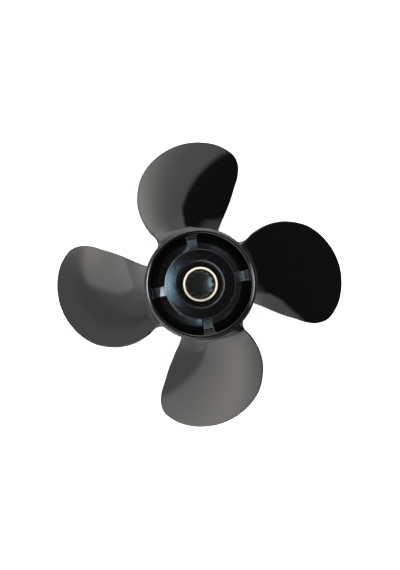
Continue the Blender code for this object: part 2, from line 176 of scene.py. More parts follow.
# Colours of the finishes, with painted highlights and painted shade among them
PAINT = (0.0006, 0.0006, 0.0007, 1)
RIB_DUST = (0.095, 0.095, 0.097, 1)
# Painted highlight along the side edges of the ribs' fronts
RIB_EDGE_HIGHLIGHT = (0.19, 0.20, 0.20, 1)
# Painted highlight on the left rib's front: a pale glint at its inner end, fading to near black further
# out
LEFT_RIB_GLINT = (0.52, 0.52, 0.52, 1)
LEFT_RIB_GLINT_FADE = (0.02, 0.02, 0.02, 1)
# Painted highlight on the rounded edge of the hub's bore, strongest on the right
BORE_EDGE_HIGHLIGHT = (0.085, 0.085, 0.083, 1)
# Painted highlight on the outer edge of the hub's front face, strongest on the left
FACE_EDGE_HIGHLIGHT = (0.16, 0.16, 0.167, 1)
SPECK = (0.055, 0.055, 0.055, 1)
# Painted highlight on the forward rim, on its left and right
RIM_HIGHLIGHT = (0.08, 0.08, 0.08, 1)
RUBBER = (0.001, 0.001, 0.001, 1)
# Painted highlight on the rubber's outer corner next to the hub's bore
RUBBER_HIGHLIGHT = (0.085, 0.085, 0.083, 1)
BRASS = (0.73, 0.64, 0.50, 1)
TARNISHED_BRASS = (0.64, 0.53, 0.40, 1)
# Painted shade on the brass, towards the bottom and a little to the left
SHADED_BRASS = (0.42, 0.35, 0.26, 1)
# Splines: a greenish patina aft; towards the front, a teal tint that stands in for the teal light seen
# down the bore
AFT_SPLINES = (0.39, 0.44, 0.36, 1)
FRONT_SPLINE_TEAL = (0.16, 0.34, 0.34, 1)
SLEEVE_MOUTH_SHADE = (0.02, 0.018, 0.015, 1)

# Roughness of the paint, and what the cast skin and the dust add to it
PAINT_ROUGHNESS = 0.05
CAST_ROUGHNESS = 0.09
DUST_ROUGHNESS = 0.09

# Relief of the paint: its depth, and the shares of it
PAINT_RELIEF = 0.4 * MM
PEEL_RELIEF = 0.006
CAST_RELIEF = 0.34
GRAIN_RELIEF = 0.3
RIB_END_RELIEF = 0.75

# Where the finishes change: each pair is where a blend starts and ends, by radius, height or place
WALL_OUTSIDE = (44.0 * MM, 44.5 * MM)
RIB_FACE_AFT = (68.6 * MM, 69.4 * MM)
RIB_FACE_FRONT = (71.2 * MM, 72.0 * MM)
RIB_FACE_START = (34.8 * MM, 35.6 * MM)
RIB_END = (35.2 * MM, 39.2 * MM)
# Where the painted highlight along the ribs' side edges starts
RIB_SIDE = (3.8 * MM, 4.3 * MM)
# Where the painted glint on the left rib's front starts, and where it fades out
LEFT_RIB_GLINT_START = (30.0 * MM, 31.0 * MM)
LEFT_RIB_GLINT_END = (38.0 * MM, 39.6 * MM)
# Where the painted highlight on the edge of the hub's bore lies
BORE_EDGE_RADIUS = (22.7 * MM, 23.0 * MM)
BORE_EDGE_HEIGHT = (88.6 * MM, 89.2 * MM)
# Where the painted highlight on the edge of the hub's face lies, and how it grows to the left
FACE_EDGE_INNER = (33.1 * MM, 33.4 * MM)
FACE_EDGE_OUTER = (34.0 * MM, 34.3 * MM)
FACE_EDGE_HEIGHT = (87.2 * MM, 88.0 * MM)
FACE_EDGE_LEFT = (14.0 * MM, 34.0 * MM)
FACE_EDGE_FAR_LEFT = (31.0 * MM, 34.0 * MM)
# Where the painted highlight on the forward rim lies
RIM_EDGE_INNER = (50.1 * MM, 50.4 * MM)
RIM_EDGE_OUTER = (51.0 * MM, 51.3 * MM)
RIM_EDGE_HEIGHT = (97.6 * MM, 98.4 * MM)
RIM_EDGE_SIDES = (0.0020, 0.0027)
SPECK_HEIGHT = (70.0 * MM, 71.0 * MM)
SPECK_CUT = (0.22, 0.25)
GRAIN_CUT = (0.35, 0.65)
# The side of the bore where its painted highlights are strongest
HIGHLIGHT_SIDE = (-6.0 * MM, 24.0 * MM)
# Where the painted highlight on the rubber's outer corner lies
RUBBER_HIGHLIGHT_RADIUS = (21.6 * MM, 22.0 * MM)
SLEEVE_INSIDE = (14.6 * MM, 14.8 * MM)
SLEEVE_MOUTH_HEIGHT = (78.5 * MM, 80.0 * MM)
# Where the splines' patina turns into the teal tint that stands in for the light seen down the bore
SPLINE_TEAL_BLEND = (34.0 * MM, 62.0 * MM)
# Where the painted shade on the brass lies: towards the bottom, a little to the left
BRASS_SHADE_SIDE = (0.0, 16.0 * MM)
BRASS_SHADE_WAY = (-0.34, -0.94, 0.0)
RIB_LINE = (math.cos(FIRST_RIB), math.sin(FIRST_RIB), 0.0)
RIB_CROSS_LINE = (-math.sin(FIRST_RIB), math.cos(FIRST_RIB), 0.0)

# Light from all round. A name ending in EDGE is a unit vector square to a border between light and
# shade; BLEND is the cosine to it at which the light starts and is full; SLOPE is how the light grows
# along x, y and z.
HORIZON_BLEND = (-0.03, 0.03)
ZENITH_BLEND = (0.76, 0.90)
NADIR_BLEND = (0.75, 0.90)
DARKEST = (0.003, 0.004, 0.004, 1)
BACKDROP = (0.93, 0.93, 0.93, 1)

ROOM_TINT = (0.98, 1.0, 1.045)
ROOM_LEVEL = 1.09
ROOM_SLOPE = (0.09, 0.03, 0.36)
SHADE_EDGE = (-0.721, 0.413, 0.556)
SHADE_BLEND = (-0.06, 0.03)
FRONT_EDGE = (-0.935, -0.216, -0.282)
FRONT_BLEND = (-0.05, 0.05)
BAND_DEPTH = 0.33
BAND_FOOT_BLEND = (0.42, 0.54)
BAND_TOP_BLEND = (0.56, 0.64)
BAND_LEFT_BLEND = (0.2, 0.5)
FAR_WALL = 0.35
FAR_WALL_BLEND = (0.35, 0.7)
FAR_WALL_TOP_BLEND = (0.1, 0.48)

GLOW_TINT = (1.07, 1.0, 0.87)
GLOW_STRENGTH = 3.7
GLOW_WAY = (0.031, 0.694, 0.719)
GLOW_TIGHTNESS = 24.0

WINDOW_TINT = (0.925, 0.84, 0.75)
WINDOW_STRENGTH = 1.75
WINDOW_LEVEL = 1.069
WINDOW_SLOPE = (0.43, 0.0, 0.3)
WINDOW_LEFT_EDGE = (0.839, 0.545, 0.0)
WINDOW_LEFT_BLEND = (-0.09, 0.05)
WINDOW_RIGHT_EDGE = (-0.966, 0.259, 0.0)
WINDOW_RIGHT_BLEND = (-0.14, 0.14)
WINDOW_TOP_EDGE = (-0.218, 0.496, -0.841)
WINDOW_TOP_BLEND = (-0.03, 0.03)

PANEL_TINT = (1.07, 0.99, 0.89)
PANEL_STRENGTH = 2.05
PANEL_LEVEL = 1.224
PANEL_SLOPE = (0.88, 0.0, 0.36)
PANEL_FOOT_EDGE = (0.488, -0.590, 0.643)
PANEL_FOOT_BLEND = (-0.07, 0.09)
PANEL_END_EDGE = (-0.959, 0.257, 0.118)
PANEL_END_BLEND = (-0.2, 0.27)
PANEL_FRONT_BLEND = (-0.1, 0.15)
PANEL_BAND = 0.15
STREAK_STRENGTH = 0.25
STREAK_WAY = (-0.471, -0.681, 0.561)
STREAK_TIGHTNESS = 40.0

GROUND_TINT = (1.0, 0.99, 0.97)
GROUND_LEVEL = 1.1
GROUND_BEHIND = 0.9
GROUND_BEHIND_BLEND = (0.3, 1.0)
GROUND_FRONT = 0.6
GROUND_FRONT_BLEND = (0.25, 0.6)
GROUND_LEFT_BLEND = (0.2, 0.5)
DARK_GROUND = 0.4
DARK_GROUND_EDGE = (0.976, -0.216, 0.0)
DARK_GROUND_BLEND = (0.38, 0.5)
DARK_GROUND_FOOT_BLEND = (0.1, 0.3)
HAZE_TINT = (1.0, 1.2, 1.15)
HAZE_STRENGTH = 0.03
HAZE_BLEND = (-0.8, -0.3)

# Lamps and floor
LAMP_TARGET = (0, 0, 0.05)
KEY_PLACE = (-0.34, 0.0, 1.5)
KEY_SIZE = 0.18
KEY_RADIANCE = 28
KEY_COLOUR = (0.46, 0.78, 1.0)
BORE_LAMP_PLACE = (-0.385, -0.08, 1.5)
BORE_LAMP_SIZE = 0.06
BORE_LAMP_RADIANCE = 740
BORE_LAMP_COLOUR = (0.57, 1.0, 1.05)
FLOOR_HALF_WIDTH = 3.0
FLOOR_PAINT = (0.6, 0.6, 0.6, 1)
FLOOR_LAMP_DISTANCE = 1.25
FLOOR_LAMP_HEIGHT = 1.0
FLOOR_LAMP_SIZE = 1.0
FLOOR_LAMP_RADIANCE = 18.0

# How finely the casting is divided
SECTOR = 45
COLUMN_STEP = 2
BARREL_SIDE_STEPS = 44
HOLE_MARGIN = 1.0
HOLE_CROWDING = 1.5
MERGE_DISTANCE = 2e-6
BLADE_STATIONS = 90
STATION_EVENNESS = 0.7
STATION_CROWDING = 0.15
BLADE_ROWS = 40
ROW_CROWDING = 1.2
EDGE_STEPS = 8
BLADE_FILLET_STEPS = 10
RIB_SIDE_STEPS = 24
CORNER_STEPS = 4
RIB_FILLET_STEPS = 6
RIB_RINGS = 9
BUSHING_STEPS = 128
STEPS_PER_TOOTH = 20


class Skin:
    """Gathers grids of points into one mesh. Points that lie on each other are merged at the end."""

    def __init__(self):
        self.points = []
        self.faces = []
        self.count = 0

    def put(self, points, faces):
        """Points and the faces between them, each face a row of point numbers."""
        self.faces += (faces + self.count).tolist()
        self.points.append(points)
        self.count += len(points)

    def add(self, grid, closed=False):
        """A grid has rows, columns and x, y, z. Closed joins the last column to the first."""
        rows, columns, _ = grid.shape
        index = np.arange(rows * columns).reshape(rows, columns)
        if closed:
            index = np.hstack([index, index[:, :1]])
        quads = np.stack([index[:-1, :-1], index[:-1, 1:], index[1:, 1:], index[1:, :-1]], axis=-1)
        self.put(grid.reshape(-1, 3), quads.reshape(-1, 4))

    def add_four(self, grid, start, closed=False):
        """The same grid four times round the axis, the first turned by the start angle."""
        for quarter in range(4):
            self.add(turned(grid, start + quarter * math.pi / 2), closed)

    def make(self, name, sharp_angle=None):
        """The finished object, smooth but for the edges that are sharper than an angle in degrees."""
        mesh = bpy.data.meshes.new(name)
        points = np.concatenate(self.points)
        mesh.from_pydata(points.tolist(), [], self.faces)
        bm = bmesh.new()
        bm.from_mesh(mesh)
        bmesh.ops.remove_doubles(bm, verts=bm.verts, dist=MERGE_DISTANCE)
        bmesh.ops.recalc_face_normals(bm, faces=bm.faces)
        bm.to_mesh(mesh)
        bm.free()
        mesh.shade_smooth()
        if sharp_angle:
            mesh.set_sharp_from_angle(angle=math.radians(sharp_angle))
        made = bpy.data.objects.new(name, mesh)
        bpy.context.scene.collection.objects.link(made)
        return made


def turned(points, angle):
    """Points turned about the shaft axis: x' = x cos a - y sin a, y' = x sin a + y cos a."""
    x, y, z = points[..., 0], points[..., 1], points[..., 2]
    cos, sin = np.cos(angle), np.sin(angle)
    return np.stack([x * cos - y * sin, x * sin + y * cos, z], axis=-1)


def polar(radius, angle, height):
    """Point at a radius and an angle from +X, at a height."""
    radius, angle, height = np.broadcast_arrays(radius, angle, height)
    return np.stack([radius * np.cos(angle), radius * np.sin(angle), height], axis=-1)


def smooth(share):
    """Smoothstep: 3t^2 - 2t^3 with t held between 0 and 1."""
    t = np.clip(share, 0.0, 1.0)
    return t * t * (3 - 2 * t)


def soft_ramp(distance, softness):
    """Softplus: s log(1 + e^(d/s)), which is 0 well before 0 and d well after it."""
    return softness * np.logaddexp(0.0, distance / softness)


def barrel_radius(height):
    """Outer wall: waist radius, plus a straight taper that starts softly, plus the aft flare."""
    slope = (SHOULDER_RADIUS - WAIST_RADIUS) / (SHOULDER_START - WAIST_HEIGHT)
    flare = FLARE_WIDTH * (1 - smooth((height - FLARE_FOOT) / (FLARE_HEIGHT - FLARE_FOOT)))
    return WAIST_RADIUS + slope * soft_ramp(height - WAIST_HEIGHT, WAIST_SOFTNESS) + flare


def wall_radius(height):
    """Inner wall: a slight taper, and a steeper one ahead of the ribs, with a soft bend between."""
    aft_slope = (WALL_RADIUS_RIBS - WALL_RADIUS_AFT) / (WALL_BEND - HUB_AFT)
    front_slope = (RIM_INNER_RADIUS - WALL_RADIUS_RIBS) / (RIM_HEIGHT - RIM_ROUNDING - WALL_BEND)
    bend = (front_slope - aft_slope) * soft_ramp(height - WALL_BEND, WALL_SOFTNESS)
    return WALL_RADIUS_AFT + aft_slope * (height - HUB_AFT) + bend


def hub_radius(height):
    """Outer wall of the inner hub: a straight taper."""
    share = (height - HUB_AFT) / (HUB_FRONT - HUB_AFT)
    return HUB_RADIUS_AFT + (HUB_RADIUS_FRONT - HUB_RADIUS_AFT) * share


def quarter_columns(start, shift=0):
    """Angles of a quarter's columns from a start angle, about a line that lies shift ahead of a rib."""
    base = np.arange(-SECTOR, SECTOR, COLUMN_STEP).tolist()
    base += [sign * edge for edge in PAD_EDGES for sign in (-1, 1)]
    moved = start + (np.array(base) - shift - start) % (2 * SECTOR)
    return np.radians(np.append(np.sort(moved), start + 2 * SECTOR))


BLADE_AHEAD = round(math.degrees(FIRST_BLADE - FIRST_RIB))
RIB_COLUMNS = quarter_columns(-SECTOR)
BLADE_COLUMNS = quarter_columns(-SECTOR, BLADE_AHEAD)


def frame_loop(columns, band, side_steps):
    """The border of a wall's quarter as (angle, height), from its +angle top corner and back."""
    low, high = band
    side = np.linspace(high, low, side_steps + 1)
    over = np.stack([columns[::-1], np.full_like(columns, high)], axis=-1)
    down = np.stack([np.full_like(side, columns[0]), side], axis=-1)
    under = np.stack([columns, np.full_like(columns, low)], axis=-1)
    up = np.stack([np.full_like(side, columns[-1]), side[::-1]], axis=-1)
    return np.concatenate([over[:-1], down[:-1], under[:-1], up[:-1]])


def wall_round_hole(hole, border, radius_at, rings):
    """Wall between a hole and its border: straight lines in (angle, height), laid on the wall."""
    share = (np.linspace(0, 1, rings + 1) ** HOLE_CROWDING)[:, None, None]
    flat = hole[None] * (1 - share) + border[None] * share
    return polar(radius_at(flat[..., 1]), flat[..., 0], flat[..., 1])


def wall_of_triangles(hole, columns, band, side_steps, radius_at):
    """Wall round a hole of any shape: Delaunay's triangles between the hole, the border and a regular
    grid of (angle, height), found in millimetres along and up the wall. Gives points and triangles."""
    border = frame_loop(columns, band, side_steps)
    level = np.linspace(*band, side_steps + 1)[1:-1]
    grid = np.stack(np.meshgrid(columns[1:-1], level), axis=-1).reshape(-1, 2)
    scale = np.array([SHOULDER_RADIUS, 1.0]) / MM
    apart = np.linalg.norm((grid[:, None] - hole[None]) * scale, axis=-1).min(axis=1)
    flat = np.concatenate([hole, border, grid[apart > HOLE_MARGIN]]) * scale
    first, count = len(hole), len(border)
    edges = [(first + step, first + (step + 1) % count) for step in range(count)]
    found, _, triangles, _, _, within = delaunay_2d_cdt(
        [Vector(point) for point in flat.tolist()], edges, [list(range(first))], 0, 1e-6)
    kept = np.array([triangle for triangle, faces in zip(triangles, within) if not faces])
    used, kept = np.unique(kept, return_inverse=True)
    flat = np.array([tuple(point) for point in found])[used] / scale
    return polar(radius_at(flat[:, 1]), flat[:, 0], flat[:, 1]), kept.reshape(-1, 3)


# Blade surfaces

OUTLINE_XY = np.array([
    (radius * math.cos(math.radians(degrees)), radius * math.sin(math.radians(degrees)))
    for radius, degrees in BLADE_OUTLINE
])
OUTLINE_END = len(BLADE_OUTLINE) - 1


def outline_point(place):
    """Catmull and Rom's curve through the outline's points; place counts points from the root."""
    place = np.clip(np.asarray(place, float), 0, OUTLINE_END)
    span = np.minimum(place.astype(int), OUTLINE_END - 1)
    t = (place - span)[..., None]
    a, b, c, d = (OUTLINE_XY[np.clip(span + step, 0, OUTLINE_END)] for step in (-1, 0, 1, 2))
    square = (2 * a - 5 * b + 4 * c - d) * t**2
    cube = (3 * b - a - 3 * c + d) * t**3
    return 0.5 * (2 * b + (c - a) * t + square + cube)


def outline_normal(place):
    """Unit vector out of the blade, in plan: the outline's direction turned a quarter left."""
    place = np.asarray(place)
    along = outline_point(place + DIRECTION_STEP) - outline_point(place - DIRECTION_STEP)
    normal = np.stack([-along[..., 1], along[..., 0]], axis=-1)
    return normal / np.linalg.norm(normal, axis=-1, keepdims=True)


def edge_point(place):
    """Centre of the rounded edge: the outline taken in by the edge's radius."""
    return outline_point(place) - outline_normal(place) * EDGE_RADIUS


def plan_point(a, b):
    """Coons patch in plan: a runs from leading to trailing edge, b from the root to the tip."""
    a, b = np.broadcast_arrays(a, b)
    leading = edge_point(TIP_START * b)
    trailing = edge_point(OUTLINE_END - (OUTLINE_END - TIP_END) * b)
    tip = edge_point(TIP_START + (TIP_END - TIP_START) * a)
    root_lead, root_trail = edge_point(0.0), edge_point(float(OUTLINE_END))
    tip_lead, tip_trail = edge_point(float(TIP_START)), edge_point(float(TIP_END))
    start = math.atan2(root_lead[1], root_lead[0])
    end = math.atan2(root_trail[1], root_trail[0])
    reach = np.hypot(*root_lead) * (1 - a) + np.hypot(*root_trail) * a
    angle = start * (1 - a) + end * a
    root = np.stack([reach * np.cos(angle), reach * np.sin(angle)], axis=-1)
    a, b = a[..., None], b[..., None]
    corners = (root_lead * (1 - a) + root_trail * a) * (1 - b)
    corners = corners + (tip_lead * (1 - a) + tip_trail * a) * b
    return leading * (1 - a) + trailing * a + root * (1 - b) + tip * b - corners


def screw_point(plan):
    """Helical surface: height = root height + pitch/2pi x angle - rake slope x (radius - shoulder)."""
    radius = np.hypot(plan[..., 0], plan[..., 1])
    angle = np.arctan2(plan[..., 1], plan[..., 0])
    height = ROOT_HEIGHT + PITCH_PER_RADIAN * angle - (radius - SHOULDER_RADIUS) * RAKE_SLOPE
    return np.stack([plan[..., 0], plan[..., 1], height], axis=-1)


def screw_normal(plan):
    """Unit normal of the helical surface on its forward side: outward tangent x tangent round it."""
    radius = np.hypot(plan[..., 0], plan[..., 1])
    cos, sin = plan[..., 0] / radius, plan[..., 1] / radius
    outward = np.stack([cos, sin, np.full_like(cos, -RAKE_SLOPE)], axis=-1)
    around = np.stack([-sin, cos, PITCH_PER_RADIAN / radius], axis=-1)
    normal = np.cross(outward, around)
    return normal / np.linalg.norm(normal, axis=-1, keepdims=True)


def crown(a, b):
    """Extra thickness on the forward face: a parabola across the blade that fades to the tip."""
    return (ROOT_THICKNESS - 2 * EDGE_RADIUS) * (1 - (2 * a - 1) ** 2) * (1 - b)


def face_grid(a, b, side):
    """Forward face (side 1) or pressure face (side -1): the helical surface moved along its normal."""
    plan = plan_point(a, b)
    offset = EDGE_RADIUS + crown(a, b) if side > 0 else np.full_like(a + b, -EDGE_RADIUS)
    return screw_point(plan) + screw_normal(plan) * offset[..., None]


def edge_grid(place):
    """Half circle round the blade's edge at each place, from the forward face to the pressure face."""
    plan = edge_point(place)
    normal = screw_normal(plan)
    flat = outline_normal(place)
    out = np.concatenate([flat, np.zeros_like(flat[..., :1])], axis=-1)
    out -= normal * (out * normal).sum(-1, keepdims=True)
    out /= np.linalg.norm(out, axis=-1, keepdims=True)
    turn = (math.pi / 2 - np.linspace(0, math.pi, EDGE_STEPS + 1))[None, :, None]
    around = out[:, None] * np.cos(turn) + normal[:, None] * np.sin(turn)
    return screw_point(plan)[:, None] + around * EDGE_RADIUS


def round_section(leading, forward, trailing, aft):
    """Joins values along the two edges and faces of the blade's root into one loop."""
    half = EDGE_STEPS // 2
    parts = (leading[half::-1], forward[1:], trailing[1:], aft[-2::-1], leading[-2:half:-1])
    return np.concatenate(parts)


def root_ring(section, facing, thicker, turn):
    """The root section carried in along the rake to a fillet's height above the barrel, and spread
    along the barrel by the fillet: height f (1 - sin turn), spread f (1 - cos turn). The fillet f is
    larger round the leading edge, and the foot stays below the shoulder. Facing is the direction of
    the spread, 0 on the forward face and a quarter turn at the leading edge."""
    angle = np.arctan2(section[:, 1], section[:, 0])
    radius = np.hypot(section[:, 0], section[:, 1])
    from_leading = (angle.max() - angle) / (angle.max() - angle.min())
    fillet = LEADING_FILLET + (BLADE_FILLET - LEADING_FILLET) * smooth(from_leading / LEADING_SHARE)
    height = fillet * (1 - math.sin(turn))
    level = section[:, 2].copy()
    for _ in range(CARRY_ROUNDS):
        carried = radius - barrel_radius(level) - height
        level = section[:, 2] + carried * RAKE_SLOPE
    reach = barrel_radius(level)
    chord = np.stack([reach, np.full_like(reach, PITCH_PER_RADIAN)], axis=-1)
    chord /= np.linalg.norm(chord, axis=-1, keepdims=True)
    square = np.stack([-chord[:, 1], chord[:, 0]], axis=-1)
    outward = square * np.cos(facing)[:, None] + chord * np.sin(facing)[:, None]
    flat = np.stack([reach * angle, level], axis=-1) + square * (thicker * carried)[:, None]
    flat += outward * (fillet * (1 - math.cos(turn)))[:, None]
    limit = SHOULDER_START - FOOT_LIMIT
    level = limit - soft_ramp(limit - flat[:, 1], FOOT_SOFTNESS)
    return flat[:, 0] / barrel_radius(level), level, height


def add_blade(skin):
    """Faces, rounded edge, root fillet, and the quarter of the barrel's outside that carries them."""
    across = np.linspace(0, 1, BLADE_STATIONS + 1)
    a = (STATION_EVENNESS * across + STATION_CROWDING * (1 - np.cos(math.pi * across)))[None, :]
    up = np.linspace(0, 1, BLADE_ROWS + 1)
    b = (1 - (1 - up) ** ROW_CROWDING)[:, None]
    forward = face_grid(a, b, 1)
    aft = face_grid(a, b, -1)
    leading = edge_grid(TIP_START * b[:, 0])
    trailing = edge_grid(OUTLINE_END - (OUTLINE_END - TIP_END) * b[:, 0])
    tip = edge_grid(TIP_START + (TIP_END - TIP_START) * a[0])
    for grid in (forward, aft, leading, trailing, tip):
        skin.add_four(grid, FIRST_BLADE)
    section = round_section(leading[0], forward[0], trailing[0], aft[0])
    round_edge = np.linspace(0, math.pi, EDGE_STEPS + 1)
    facing = round_section(round_edge, 0 * a[0], -round_edge, math.pi + 0 * a[0])
    foot, above = plan_point(a[0], 0.0), plan_point(a[0], ROOT_STEP)
    outward = np.linalg.norm(above, axis=-1) - np.linalg.norm(foot, axis=-1)
    gain = (crown(a[0], 0.0) - crown(a[0], ROOT_STEP)) / outward
    thicker = round_section(0 * round_edge, gain, 0 * round_edge, 0 * gain)
    rings = [section]
    for turn in np.linspace(0, math.pi / 2, BLADE_FILLET_STEPS + 1):
        angle, level, height = root_ring(section, facing, thicker, turn)
        rings.append(polar(barrel_radius(level) + height, angle, level))
    skin.add_four(np.stack(rings), FIRST_BLADE, closed=True)
    hole = np.stack([angle, level], axis=-1)
    points, triangles = wall_of_triangles(
        hole, BLADE_COLUMNS, BLADE_BAND, BARREL_SIDE_STEPS, barrel_radius)
    for quarter in range(4):
        skin.put(turned(points, FIRST_BLADE + quarter * math.pi / 2), triangles)


def rib_loop(spread):
    """A rib's section grown by spread: a rounded rectangle as (half width, height) from a top corner."""
    corner = RIB_CORNER + spread
    width = RIB_HALF_WIDTH + spread - corner
    low, high = RIB_AFT - spread + corner, RIB_FRONT + spread - corner
    across = len(RIB_COLUMNS) - 1 - 2 * CORNER_STEPS
    side = RIB_SIDE_STEPS - 2 * CORNER_STEPS

    def arc(x, z, start, stop):
        turn = np.radians(np.linspace(start, stop, CORNER_STEPS + 1))[:-1]
        return np.stack([x + corner * np.cos(turn), z + corner * np.sin(turn)], axis=-1)

    def line(x0, z0, x1, z1, count):
        share = np.linspace(0, 1, count + 1)[:-1, None]
        return np.array([x0, z0]) * (1 - share) + np.array([x1, z1]) * share

    return np.concatenate(
        [
            arc(width, high, 45, 90),
            line(width, high + corner, -width, high + corner, across),
            arc(-width, high, 90, 135),
            arc(-width, high, 135, 180),
            line(-width - corner, high, -width - corner, low, side),
            arc(-width, low, 180, 225),
            arc(-width, low, 225, 270),
            line(-width, low - corner, width, low - corner, across),
            arc(width, low, 270, 315),
            arc(width, low, 315, 360),
            line(width + corner, low, width + corner, high, side),
            arc(width, high, 0, 45),
        ]
    )


def rib_ring(spread, depth, radius_at, sign):
    """A rib's section at a depth off a wall, with each point as far from the wall as its height asks."""
    loop = rib_loop(spread)
    along = np.sqrt(radius_at(loop[:, 1]) ** 2 - loop[:, 0] ** 2) + sign * depth
    return np.stack([along, loop[:, 0], loop[:, 1]], axis=-1)


def add_rib(skin):
    """Rib with a fillet at each end, and the quarters of the two walls that it joins."""
    turns = np.linspace(0, math.pi / 2, RIB_FILLET_STEPS + 1)
    spreads = RIB_FILLET * (1 - np.sin(turns))
    depths = RIB_FILLET * (1 - np.cos(turns))
    inner = [rib_ring(s, d, hub_radius, 1) for s, d in zip(spreads, depths)]
    outer = [rib_ring(s, d, wall_radius, -1) for s, d in zip(spreads, depths)]
    middle = [inner[-1] * (1 - t) + outer[-1] * t for t in (0.25, 0.5, 0.75)]
    skin.add_four(np.stack(inner + middle + outer[::-1]), FIRST_RIB, closed=True)
    border = frame_loop(RIB_COLUMNS, RIB_BAND, RIB_SIDE_STEPS)
    for ring, radius_at in ((inner[0], hub_radius), (outer[0], wall_radius)):
        hole = np.stack([np.arctan2(ring[:, 1], ring[:, 0]), ring[:, 2]], axis=-1)
        skin.add_four(wall_round_hole(hole, border, radius_at, RIB_RINGS), FIRST_RIB, closed=True)


def corner_arc(radius, height, size, start, stop, steps):
    """Profile points (radius, height) of a rounded corner about its centre, angles in degrees."""
    turn = np.radians(np.linspace(start, stop, steps + 1))
    return np.stack([radius + size * np.cos(turn), height + size * np.sin(turn)], axis=-1)


def profile(*parts):
    """Joins points and arcs into one profile, each row a radius and a height."""
    return np.concatenate([np.atleast_2d(part) for part in parts])


def turned_quarter(points):
    """A profile carried round one quarter on the ribs' columns."""
    return polar(points[:, :1], RIB_COLUMNS[None, :], points[:, 1:])


def add_rim(skin):
    """From the barrel's outside over the shoulder and the forward rim to the inner wall, which is the
    wall's radius less a pad's height in line with each rib."""
    top = RIM_HEIGHT - RIM_ROUNDING
    points = profile(
        corner_arc(SHOULDER_RADIUS - SHOULDER_ROUNDING, SHOULDER_START, SHOULDER_ROUNDING, 0, 80, 8),
        corner_arc(SPIGOT_RADIUS + SPIGOT_FOOT_ROUNDING, SPIGOT_FOOT, SPIGOT_FOOT_ROUNDING, 260, 180, 4),
        [(SPIGOT_RADIUS, row) for row in SPIGOT_ROWS],
        corner_arc(SPIGOT_RADIUS - RIM_ROUNDING, top, RIM_ROUNDING, 0, 90, 7),
        corner_arc(RIM_INNER_RADIUS + RIM_ROUNDING, top, RIM_ROUNDING, 90, 180, 7),
    )
    skin.add_four(turned_quarter(points), FIRST_RIB)
    rows = (
        np.linspace(top, PAD_TOP + PAD_GAP, 3),
        np.linspace(PAD_TOP, PAD_TOP - PAD_RAMP, 6)[:-1],
        np.linspace(PAD_TOP - PAD_RAMP, PAD_FOOT, 9)[:-1],
        np.linspace(PAD_FOOT, RIB_BAND[1], 6),
    )
    height = np.concatenate(rows)[:, None]
    pad_start, pad_end = PAD_EDGES
    across = 1 - smooth((np.abs(np.degrees(RIB_COLUMNS)) - pad_start) / (pad_end - pad_start))
    along = smooth((PAD_TOP - height) / PAD_RAMP) * smooth((height - RIB_BAND[1]) / PAD_RAMP)
    radius = wall_radius(height) - PAD_HEIGHT * across[None, :] * along
    skin.add_four(polar(radius, RIB_COLUMNS[None, :], height), FIRST_RIB)


def add_aft_end(skin):
    """From the barrel's outside over the aft rim, the rest face, to the inner wall aft of the ribs."""
    rise = np.linspace(BLADE_BAND[0], AFT_EDGE, 11)
    inside = np.linspace(AFT_EDGE, RIB_BAND[0], 10)
    lip = AFT_MOUTH_RADIUS + AFT_MOUTH_LIP
    mouth = (AFT_MOUTH_RADIUS - WALL_RADIUS_AFT) * (1 - inside / RIB_BAND[0]) ** 3
    points = profile(
        np.stack([barrel_radius(rise), rise], axis=-1),
        corner_arc(WAIST_RADIUS + FLARE_WIDTH - AFT_EDGE, AFT_EDGE, AFT_EDGE, -12, -90, 5),
        (lip, 0.0),
        corner_arc(lip, AFT_MOUTH_ROUNDING, AFT_MOUTH_ROUNDING, 260, 190, 4),
        np.stack([wall_radius(inside) + mouth, inside], axis=-1),
    )
    points[-1, 0] = wall_radius(points[-1, 1])
    skin.add_four(turned_quarter(points), FIRST_RIB)


def add_inner_hub(skin):
    """From the ribs' band over the front face, down the bore, over the stop and the aft end."""
    side = np.linspace(RIB_BAND[1], HUB_EDGE, 5)[:-1]
    points = profile(
        np.stack([hub_radius(side), side], axis=-1),
        corner_arc(HUB_RADIUS_FRONT - 0.95 * MM, HUB_EDGE, 0.92 * MM, 0, 84, 6),
        HUB_FACE,
        corner_arc(HUB_BORE + BORE_ROUNDING, 89.4 * MM, BORE_ROUNDING, 90, 180, 6),
        [(HUB_BORE, row) for row in BORE_ROWS],
        (HUB_BORE, STOP_HEIGHT),
        (STOP_BORE, STOP_HEIGHT),
        (STOP_BORE, 28 * MM),
        corner_arc(STOP_BORE + 0.5 * MM, 23.6 * MM, 0.5 * MM, 180, 225, 2),
        corner_arc(STOP_BORE + 1.6 * MM, HUB_AFT + 0.3 * MM, 0.3 * MM, 225, 270, 2),
        (26 * MM, HUB_AFT),
        corner_arc(HUB_RADIUS_AFT - 0.98 * MM, HUB_AFT + 1 * MM, 1 * MM, 270, 360, 6),
    )
    points[-1] = (hub_radius(RIB_BAND[0]), RIB_BAND[0])
    skin.add_four(turned_quarter(points), FIRST_RIB)


def make_casting():
    skin = Skin()
    add_blade(skin)
    add_rib(skin)
    add_rim(skin)
    add_aft_end(skin)
    add_inner_hub(skin)
    return skin.make("propeller_casting")


# Bushing and sleeve

